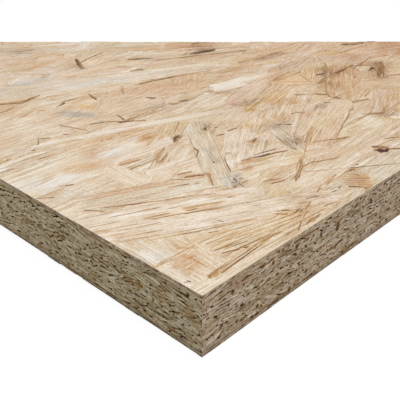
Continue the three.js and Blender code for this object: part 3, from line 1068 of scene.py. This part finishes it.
    (254, 86.0, 236, 78.6, 4.6, brown), (253.6, 85.4, 242, 80.6, 3.0, bark),
    (251.5, 88.6, 245, 84.0, 2.4, bark), (227.4, 80.6, 242, 83.6, 2.8, bark),
    (231, 73.2, 222, 67.8, 3.0, amber), (227.5, 66.2, 221.0, 70.4, 2.8, brown),
    (228, 69, 250, 59, 1.6, amber), (268, 125.4, 288, 114.4, 5.0, brown),
    (269.6, 126.6, 278, 118.2, 7.0, 0.015), (164, 88.2, 169.8, 83.2, 2.7, amber),
    (164.6, 45.8, 176.4, 38.8, 1, amber), (166, 54.4, 168.6, 52.2, 1.4, amber),
    (175.6, 70.0, 191.4, 68.2, 1.4, amber),
)

stubby_width = 0.15  # of its length: a sliver wider than this is cut from a stubby blank


def laid_by_hand(name, rows, deepest, highest, seed):
    """One point for each strand, at its middle, with its size, its turn and its depth."""
    toss = random.Random(seed)
    mesh = bpy.data.meshes.new(name)
    middles = [near_corner + Vector((a + c, b + d, 0)) * MM / 2 for a, b, c, d, _, _ in rows]
    mesh.from_pydata(middles, [], [])
    columns = {
        "long": [math.hypot(c - a, d - b) * MM for a, b, c, d, _, _ in rows],
        "wide": [wide * MM for *_, wide, _ in rows],
        "turn": [math.atan2(d - b, c - a) for a, b, c, d, _, _ in rows],
        "dip": [toss.uniform(-0.0006, 0.0006) for _ in rows],
        "roll": [toss.uniform(-0.003, 0.003) for _ in rows],
        "tone": [tone for *_, tone in rows],
        "sunk": [deepest + (highest - deepest) * step / len(rows) for step in range(len(rows))],
    }
    for label, values in columns.items():
        mesh.attributes.new(label, "FLOAT", "POINT")
        mesh.attributes[label].data.foreach_set("value", values)
    stubby = [wide > stubby_width * math.hypot(c - a, d - b) for a, b, c, d, wide, _ in rows]
    picks = [step % 10 + 10 * short for step, short in enumerate(stubby)]
    mesh.attributes.new("pick", "INT", "POINT")
    mesh.attributes["pick"].data.foreach_set("value", picks)
    return mesh


torn_blanks = box_of_blanks("torn_blanks", cut_blanks("torn_blank", 110, 9, 9, 0.08, 0.07, 0.04))
slim = cut_blanks("sliver_blank", 130, 7, 2, 0.36, 0.08, bend=0.2, rim=0.15)
stubby = cut_blanks("stubby_blank", 150, 4, 4, 0.38, 0.28, bend=0.1, rim=0.1)
sliver_blanks = box_of_blanks("sliver_blanks", slim + stubby)
near_sizes = {
    "Blanks": torn_blanks,
    "Thickness": strand_thickness,
    "Face height": panel_high.z,
    "Facing": 1.0,
    "Map columns": 4.0,
    "Map rows": 11.0,
    "Finish": face_strand_finish,
}
sliver_sizes = {
    **near_sizes,
    "Blanks": sliver_blanks,
    "Thickness": 0.2 * MM,
    "Map columns": 8.0,
    "Map rows": 28.0,
}
near_points = laid_by_hand("near_points", near_strands, 0.30 * MM, 0.08 * MM, 5)
sliver_points = laid_by_hand("sliver_points", near_slivers, 0.05 * MM, 0.02 * MM, 6)
press_strands("near_strands", near_points, lay_strands, near_sizes)
press_strands("near_slivers", sliver_points, lay_strands, sliver_sizes)

# --------------------------------------------------------------------------------------
# Underside: the same mat laid the other way up, strands as on the upper face but from
# another pass of the forming line, so no strand repeats. It rests flat on the ground.
# --------------------------------------------------------------------------------------
under_bed_sizes = {
    **bed_sizes,
    "Face height": panel_low.z,
    "Facing": -1.0,
    "Seed": 51,
    "Hollow depth": 0.0,
}
under_show_sizes = {
    **show_sizes,
    "Face height": panel_low.z,
    "Facing": -1.0,
    "Seed": 67,
    "Blanks": plain_blanks,
    "Spacing": 24 * MM,
    "Hollow depth": 0.0,
}
press_strands("under_bed_strands", no_mesh, form_mat, under_bed_sizes)
press_strands("under_show_strands", no_mesh, form_mat, under_show_sizes)

# --------------------------------------------------------------------------------------
# Sawn edges: the saw leaves the cut ends and sides of some thirty plies of strands. Those
# near the faces run along the sheet and those in the middle run across it, so long slivers
# and short ends change places from edge to edge. Where two strands meet, a small void opens.
# --------------------------------------------------------------------------------------
ply_count = 33
ply_height = (board_thickness - 1.1 * MM) / ply_count
ply_start = 0.55 * MM + ply_height / 2
face_plies = 3  # on each side of the middle
section_depth = 3.0 * MM
widest_void = 1.4 * MM
closed_joints = 1.6  # how much likelier a joint is to be shut than open
edge_setback = 0.2 * MM
ply_jitter = 0.22  # of a ply's height
face_cover = 0.5 * MM
least_mean = 4.5 * MM  # a section's mean length is more, so each ply has enough of them


def section_outline(seed, side_points, point_width, pinch):
    """A cut strand seen on the sawn edge, 1 long and 1 high, with a slim end each way."""
    cut = random.Random(seed)
    outline = [(-0.5, cut.uniform(-0.25, 0.25), 0.0)]
    for step in range(side_points):
        along = -0.5 + point_width + (1 - 2 * point_width) * step / (side_points - 1)
        outline.append((along + cut.uniform(-0.05, 0.05), -0.5 + pinch * cut.random(), -1.0))
    outline.append((0.5, cut.uniform(-0.25, 0.25), 0.0))
    for step in range(side_points):
        along = 0.5 - point_width - (1 - 2 * point_width) * step / (side_points - 1)
        outline.append((along + cut.uniform(-0.05, 0.05), 0.5 - pinch * cut.random(), 1.0))
    return outline


def section_mesh(name, outline):
    """A closed wedge: its cut face looks along -Y and it thins to a ridge, 1 deep, behind."""
    count = len(outline)
    ridge = [(-0.4, 0.0, 0.0), (0.4, 0.0, 0.0)]
    front = [(x, 0.0, z) for x, z, _ in outline]
    back = [(x, 1.0, z) for x, z, _ in ridge]
    faces = [tuple(range(count))]
    for step in range(count):
        after = (step + 1) % count
        end = count if outline[step][0] < 0 else count + 1
        end_after = count if outline[after][0] < 0 else count + 1
        faces.append((after, step, end) if end == end_after else (after, step, end, end_after))
    return placed_mesh(name, front + back, faces, outline, ridge)


def sawn_edge_tree():
    """Lays cut strands end to end in plies along one edge, waved as the mat was pressed."""
    inputs = {
        "Float": (
            "Edge length", "Heading", "Ply height", "Lowest ply", "Face shortest", "Face longest",
            "Middle shortest", "Middle longest", "Widest void", "Closed joints", "Depth",
            "Board thickness", "Face cover", "Map columns", "Map rows",
        ),
        "Vector": ("Start",),
        "Int": ("Plies", "Face plies", "Pieces a ply", "Seed"),
        "Collection": ("Sections",),
        "Material": ("Finish",),
    }
    tree, given, result = new_tree("saw_edge", inputs)

    def seed(step):
        return calc(tree, "ADD", given["Seed"], float(step))

    per_ply = given["Pieces a ply"]
    count = calc(tree, "MULTIPLY", given["Plies"], per_ply)
    points = add(tree, "GeometryNodePoints", {"Count": count}).outputs[0]
    number = add(tree, "GeometryNodeInputIndex").outputs[0]
    ply = calc(tree, "FLOOR", calc(tree, "DIVIDE", calc(tree, "ADD", number, 0.5), per_ply))
    low_face = calc(tree, "LESS_THAN", ply, given["Face plies"])
    top_start = calc(tree, "SUBTRACT", given["Plies"], given["Face plies"])
    high_face = calc(tree, "GREATER_THAN", calc(tree, "ADD", ply, 0.5), top_start)
    face = calc(tree, "ADD", low_face, high_face)

    def by_ply(middle, outer):
        spread = calc(tree, "SUBTRACT", outer, middle)
        return calc(tree, "MULTIPLY_ADD", face, spread, middle)

    shortest = by_ply(given["Middle shortest"], given["Face shortest"])
    longest = by_ply(given["Middle longest"], given["Face longest"])
    share = calc(tree, "POWER", chance(tree, 0.0, 1.0, seed(1), number), 1.4)
    long = calc(tree, "MULTIPLY_ADD", share, calc(tree, "SUBTRACT", longest, shortest), shortest)
    points = keep_value(tree, points, "long", long)
    points = keep_value(tree, points, "ply", ply)
    run = add(
        tree,
        "GeometryNodeAccumulateField",
        {"Value": kept_value(tree, "long"), "Group ID": kept_value(tree, "ply")},
        data_type="FLOAT",
        domain="POINT",
    ).outputs
    lead = calc(tree, "MULTIPLY", chance(tree, 0.0, 1.0, seed(2), ply), longest)
    middle = calc(tree, "MULTIPLY_ADD", kept_value(tree, "long"), 0.5, run["Trailing"])
    x = calc(tree, "SUBTRACT", middle, lead)
    y = chance(tree, 0.0, edge_setback, seed(3), number)
    jitter = chance(tree, -ply_jitter, ply_jitter, seed(4), number)
    jitter = calc(tree, "MULTIPLY", jitter, given["Ply height"])
    z = calc(tree, "MULTIPLY_ADD", ply, given["Ply height"], given["Lowest ply"])
    points = moved(tree, points, x, y, calc(tree, "ADD", z, jitter))
    reach = calc(tree, "MULTIPLY", kept_value(tree, "long"), 0.5)
    x, _, _ = own_place(tree)
    before = calc(tree, "LESS_THAN", calc(tree, "ADD", x, reach), 0.5 * MM)
    last = calc(tree, "SUBTRACT", given["Edge length"], 0.5 * MM)
    beyond = calc(tree, "GREATER_THAN", calc(tree, "SUBTRACT", x, reach), last)
    outside = calc(tree, "ADD", before, beyond)
    inputs = {"Geometry": points, "Selection": outside}
    points = add(tree, "GeometryNodeDeleteGeometry", inputs).outputs[0]
    points = keep_value(tree, points, "lay", add(tree, "GeometryNodeInputIndex").outputs[0])
    own = kept_value(tree, "lay")
    height = calc(tree, "MULTIPLY", chance(tree, 0.9, 1.5, seed(5), own), given["Ply height"])
    points = keep_value(tree, points, "wide", height)
    points = keep_value(tree, points, "tone", chance(tree, 0.0, 1.0, seed(6), own))
    slant = calc(tree, "DIVIDE", chance(tree, -0.5 * MM, 0.5 * MM, seed(7), own), reach)
    slant = calc(tree, "MINIMUM", calc(tree, "MAXIMUM", slant, -0.3), 0.3)
    is_long = calc(tree, "GREATER_THAN", kept_value(tree, "long"), 30 * MM)
    pick = chance(tree, 0, 5, seed(8), own, whole=True)
    pick = calc(tree, "MULTIPLY_ADD", is_long, 6.0, pick)
    gap = chance(tree, calc(tree, "MULTIPLY", given["Closed joints"], -1.0), 1.0, seed(9), own)
    gap = calc(tree, "MULTIPLY", calc(tree, "MAXIMUM", gap, -0.05), given["Widest void"])
    gap = calc(tree, "MINIMUM", gap, calc(tree, "MULTIPLY", kept_value(tree, "long"), 0.35))
    drawn_long = calc(tree, "SUBTRACT", kept_value(tree, "long"), gap)
    turn = turned(tree, 0.0, slant, 0.0)
    size = triple(tree, drawn_long, given["Depth"], kept_value(tree, "wide"))
    solid = finished_strands(tree, given, points, given["Sections"], pick, turn, size)

    x, y, z = own_place(tree)
    mitred = calc(tree, "MAXIMUM", x, y)
    mitred = calc(tree, "MINIMUM", mitred, calc(tree, "SUBTRACT", given["Edge length"], y))
    solid = moved(tree, solid, mitred, y, z)
    heading = turned(tree, 0.0, 0.0, given["Heading"])
    inputs = {"Geometry": solid, "Translation": given["Start"], "Rotation": heading}
    solid = add(tree, "GeometryNodeTransform", inputs).outputs[0]

    place = add(tree, "GeometryNodeInputPosition").outputs[0]
    height = parts_of(tree, place)[2]
    inputs = {0: place, 1: (75.0, 75.0, 120.0)}  # waves a metre, along the sheet and up it
    waving = add(tree, "ShaderNodeVectorMath", inputs, operation="MULTIPLY").outputs[0]
    inputs = {"Vector": waving, "Scale": 1.0, "Detail": 2.0, "Roughness": 0.55}
    wave = add(tree, "ShaderNodeTexNoise", inputs).outputs["Fac"]
    under = calc(tree, "SUBTRACT", given["Board thickness"], height)
    near_face = calc(tree, "MINIMUM", height, under)
    room = calc(tree, "MINIMUM", calc(tree, "MULTIPLY", near_face, 0.35), 1.6 * MM)
    lift = calc(tree, "MULTIPLY", calc(tree, "SUBTRACT", wave, 0.5), calc(tree, "MULTIPLY", room, 3.2))
    height = calc(tree, "ADD", height, lift)
    x, y, _ = parts_of(tree, place)
    height = calc(tree, "MAXIMUM", height, given["Face cover"])
    cover = calc(tree, "SUBTRACT", given["Board thickness"], given["Face cover"])
    height = calc(tree, "MINIMUM", height, cover)
    tree.links.new(moved(tree, solid, x, y, height), result)
    return tree


scorched = (0.33, 0.200, 0.070, 1)
pink_wood = (0.40, 0.265, 0.185, 1)
# dark patches where slots open in the sawn edge are painted shade
slot_shade = (0.09, 0.055, 0.025, 1)
edge_stains = {  # middle and size in mm from the near corner, turn in degrees, amount
    scorched: (
        ((0, 29.5, -11), (6, 5.5, 4.5), (0, 0, 0), 1.0), ((0, 18, -9.5), (6, 9, 6.5), (-20, 0, 0), 0.7),
        ((0, 6, -9), (6, 7, 7), (0, 0, 0), 0.5), ((35, 0, -15), (20, 6, 4), (0, -12, 0), 0.5),
        ((84, 0, -22.5), (14, 6, 4), (0, 0, 0), 0.9),
    ),
    pink_wood: (
        ((17, 0, -4.6), (21, 6, 4.2), (0, 0, 0), 0.9), ((104, 0, -3.5), (22, 6, 5), (0, 0, 0), 0.5),
    ),
    # painted shade of slots in the edge
    slot_shade: (
        ((0, 19.5, -18), (6, 13, 1.6), (-3, 0, 0), 1.0), ((0, 29.5, -19.2), (6, 7, 1.7), (4, 0, 0), 1.0),
        ((0, 9, -21.5), (6, 6, 2.4), (0, 0, 0), 0.7), ((75, 0, -7.5), (4, 6, 3.5), (0, 30, 0), 1.0),
        ((88, 0, -7.3), (12, 6, 3), (0, 10, 0), 0.8), ((57, 0, -10.5), (8, 6, 3), (0, 20, 0), 0.8),
        ((20, 0, -15.5), (4, 6, 2.4), (0, 0, 0), 1.0),
    ),
}


def edge_finish(name, warmth, upper_tint):
    """Sawn wood: grey-brown end grain, pale fibre streaks, dark pores and scorched lines.

    It also carries painted shade: in pits, slots and the voids between sections, towards the
    bottom, and in a line under the top arris.
    """
    finish, tree, shader = new_finish(name, 0.0)
    place = strand_value(tree, "grain", "Vector")
    tone = strand_value(tree, "tone")
    rim = strand_value(tree, "rim")
    blank = strand_value(tree, "blank", "Vector")
    side = calc(tree, "ABSOLUTE", parts_of(tree, blank)[2])

    fibres = grainy(tree, place, 200.0, 3000.0, 3.0, 0.65)
    pores = grainy(tree, place, 700.0, 2300.0, 2.0, 0.6)
    mottle = mottled(tree, 420.0)
    ragged = calc(tree, "MULTIPLY_ADD", calc(tree, "ADD", mottle, pores), 1.6, -1.6)
    patches = mottled(tree, 90.0)
    from_corner = corner_place(tree)
    inputs = {0: board_place(tree), 1: (0.0118, 0.021, 0.017)}
    wandering = add(tree, "ShaderNodeVectorMath", inputs).outputs[0]
    pits = add(tree, "ShaderNodeTexVoronoi", {"Vector": wandering, "Scale": 380.0}).outputs
    pit_size = parts_of(tree, pits["Color"])[0]
    pit_reach = calc(tree, "MULTIPLY_ADD", above(tree, pit_size, 0.55, 1.0), 0.35, 0.02)
    from_pit = calc(tree, "MULTIPLY_ADD", mottle, 0.35, pits["Distance"])
    pit_edge = calc(tree, "SUBTRACT", from_pit, pit_reach)

    shades = (
        (0.00, (0.200, 0.110, 0.045)),
        (0.05, (0.300, 0.195, 0.100)),
        (0.22, (0.400, 0.322, 0.222)),
        (0.65, (0.465, 0.392, 0.292)),
        (0.92, (0.560, 0.485, 0.372)),
        (1.00, (0.620, 0.545, 0.425)),
    )
    colour = tone_shades(tree, tone, shades)
    for shade, spots in edge_stains.items():
        for middle, size, turn, amount in spots:
            spot = patch(tree, from_corner, ragged, middle, size, turn)
            colour = stain(tree, colour, shade, part(tree, spot, amount))
    coats = (
        ((0.30, 0.180, 0.065, 1), mottle, 0.53, 0.65, 0.55),
        ((0.45, 0.33, 0.20, 1), patches, 0.50, 0.65, 0.2),
        ((0.70, 0.62, 0.48, 1), fibres, 0.50, 0.66, 0.6),
        ((0.20, 0.135, 0.075, 1), fibres, 0.47, 0.34, 0.55),
        # the dark middles of the pits are painted shade of small hollows; the golden rim round them is
        # stain
        ((0.28, 0.165, 0.055, 1), pit_edge, 0.32, 0.18, 0.7),
        ((0.085, 0.042, 0.012, 1), pit_edge, 0.18, 0.06, 0.92),
        ((0.145, 0.080, 0.024, 1), pores, 0.58, 0.66, 0.75),
        ((0.22, 0.15, 0.08, 1), side, 0.8, 1.0, 0.2),
        # painted shade: each section's walls darken going back into the voids between sections
        ((0.125, 0.066, 0.020, 1), rim, 0.0, 0.15, 0.95),
    )
    colour = coated(tree, colour, coats)
    depth = parts_of(tree, from_corner)[2]
    # painted shade: the sawn edge darkens towards the floor, with a patchy dark line at the very bottom,
    # partly the lowest ply's dark edge
    colour = stain(tree, colour, (0.68, 0.65, 0.60, 1), above(tree, depth, -21.4, -24.2), "MULTIPLY")
    bottom_line_shade = part(tree, above(tree, depth, -22.2, -24.0), above(tree, mottled(tree, 130.0), 0.44, 0.58))
    colour = stain(tree, colour, (0.12, 0.070, 0.030, 1), part(tree, bottom_line_shade, 0.6))
    colour = stain(tree, colour, upper_tint, above(tree, depth, -4.5, -1.0), "MULTIPLY")
    # painted shadow: a brown line just under the top arris
    colour = stain(tree, colour, (0.24, 0.160, 0.090, 1), part(tree, above(tree, depth, -1.0, -0.5), 0.5))
    colour = stain(tree, colour, warmth, 1.0, "MULTIPLY")
    tree.links.new(colour, shader.inputs["Base Color"])
    shader.inputs["Roughness"].default_value = 0.85
    bump = add(tree, "ShaderNodeBump", {"Height": fibres, "Strength": 0.5, "Distance": 0.2 * MM})
    tree.links.new(bump.outputs[0], shader.inputs["Normal"])
    return finish


short_ends = [section_outline(200 + n, 2, 0.10, 0.12) for n in range(6)]
long_cuts = [section_outline(300 + n, 4, 0.05, 0.18) for n in range(6, 12)]
sections = [section_mesh(f"section_{n:02}", cut) for n, cut in enumerate(short_ends + long_cuts)]
edge_sections = box_of_blanks("edge_sections", sections)
end_grain_finish = edge_finish("end_grain_finish", (1.04, 1.04, 0.95, 1), (1.0, 0.96, 0.94, 1))
side_grain_finish = edge_finish("side_grain_finish", (1.02, 0.985, 0.985, 1), (1.15, 1.13, 1.17, 1))
saw_edge = sawn_edge_tree()
near_face = (5 * MM, 34 * MM)
within = (2.4 * MM, 11 * MM)
sawn_edges = (
    ("long_edge_front", (panel_low.x, panel_low.y), 0, board_length, side_grain_finish, 60),
    ("short_edge_right", (panel_high.x, panel_low.y), 90, board_width, end_grain_finish, 61),
    ("long_edge_back", (panel_high.x, panel_high.y), 180, board_length, side_grain_finish, 62),
    ("short_edge_left", (panel_low.x, panel_high.y), 270, board_width, end_grain_finish, 63),
)
for name, corner, heading, edge_length, finish, seed in sawn_edges:
    edge_sizes = {
        "Edge length": edge_length,
        "Start": (*corner, 0.0),
        "Heading": math.radians(heading),
        "Plies": ply_count,
        "Face plies": face_plies,
        "Ply height": ply_height,
        "Lowest ply": ply_start,
        "Pieces a ply": int(edge_length / least_mean),
        "Face shortest": near_face[0],
        "Face longest": near_face[1],
        "Middle shortest": within[0],
        "Middle longest": within[1],
        "Widest void": widest_void,
        "Closed joints": closed_joints,
        "Depth": section_depth,
        "Board thickness": board_thickness,
        "Face cover": face_cover,
        "Seed": seed,
        "Sections": edge_sections,
        "Map columns": 60.0,
        "Map rows": 230.0,
        "Finish": finish,
    }
    own_piece(name, grown(name, no_mesh, saw_edge, edge_sizes), finish)

# --------------------------------------------------------------------------------------
# Floor, light and camera: the board lies on a pale studio floor under one broad, soft
# light from the left, and is seen from over its near corner. The far end of the view
# stops short, so that the face ends in a straight line.
# --------------------------------------------------------------------------------------
floor_reach = 30.0  # metres each way, past the horizon
floor_gap = 0.5 * MM
floor_mesh = bpy.data.meshes.new("floor")
corners = ((-1, -1), (1, -1), (1, 1), (-1, 1))
floor_corners = [(x * floor_reach, y * floor_reach, 0) for x, y in corners]
floor_mesh.from_pydata(floor_corners, [], [(0, 1, 2, 3)])
floor = bpy.data.objects.new("floor", floor_mesh)
bpy.context.scene.collection.objects.link(floor)
floor.location.z = -floor_gap


def seen_directly(tree):
    """1 for what the camera sees straight, in a reflection or through glass."""
    path = add(tree, "ShaderNodeLightPath")
    seen = calc(tree, "MAXIMUM", path.outputs["Is Camera Ray"], path.outputs["Is Glossy Ray"])
    return calc(tree, "MAXIMUM", seen, path.outputs["Is Transmission Ray"])


def shown_or_lit(tree, shown, lit):
    """One shader where it is seen directly and another for the light that the object gets."""
    inputs = {0: seen_directly(tree), 1: lit.outputs[0], 2: shown.outputs[0]}
    return add(tree, "ShaderNodeMixShader", inputs).outputs[0]


def floor_finish():
    """Pale grey paper that glows near white to the camera and still takes the shadow."""
    finish = bpy.data.materials.new("floor_finish")
    finish.use_nodes = True
    tree = finish.node_tree
    tree.nodes.clear()
    lit = add(tree, "ShaderNodeBsdfDiffuse", {"Color": (0.5, 0.5, 0.5, 1)})
    paper = add(tree, "ShaderNodeBsdfDiffuse", {"Color": (0.16, 0.16, 0.16, 1)})
    glow = add(tree, "ShaderNodeEmission", {"Color": (0.86, 0.86, 0.86, 1), "Strength": 1.0})
    bright = add(tree, "ShaderNodeAddShader", {0: paper.outputs[0], 1: glow.outputs[0]})
    add(tree, "ShaderNodeOutputMaterial", {"Surface": shown_or_lit(tree, bright, lit)})
    return finish


floor_mesh.materials.append(floor_finish())

world = bpy.data.worlds.new("studio")
bpy.context.scene.world = world
world.use_nodes = True
tree = world.node_tree
tree.nodes.clear()
soft = add(tree, "ShaderNodeBackground", {"Color": (1, 1, 1, 1), "Strength": 0.45})
white = add(tree, "ShaderNodeBackground", {"Color": (1, 1, 1, 1), "Strength": 1.0})
add(tree, "ShaderNodeOutputWorld", {"Surface": shown_or_lit(tree, white, soft)})


def lamp(name, towards, strength, spread):
    """A broad, even light from far off, shining from this direction."""
    light = bpy.data.lights.new(name, "SUN")
    light.energy = strength
    light.angle = math.radians(spread)
    holder = bpy.data.objects.new(name, light)
    holder.rotation_mode = "QUATERNION"
    holder.rotation_quaternion = Vector(towards).to_track_quat("Z", "Y")
    bpy.context.scene.collection.objects.link(holder)


lamp("key", (-0.25, -0.52, 0.82), 2.1, 45)

eye = near_corner + Vector((-116.311, -110.344, 120.205)) * MM
target = near_corner + Vector((43.001, 42.001, 0)) * MM
camera_data = bpy.data.cameras.new("camera")
camera_data.sensor_width = 36.0
camera_data.lens = 59.04
camera_data.clip_start = 5 * MM
camera_data.clip_end = 451.6 * MM  # where the face is cut off
camera = bpy.data.objects.new("camera", camera_data)
bpy.context.scene.collection.objects.link(camera)
bpy.context.scene.camera = camera
camera.location = eye
camera.rotation_mode = "QUATERNION"
camera.rotation_quaternion = (eye - target).to_track_quat("Z", "Y")

bpy.context.scene.view_settings.view_transform = "Standard"
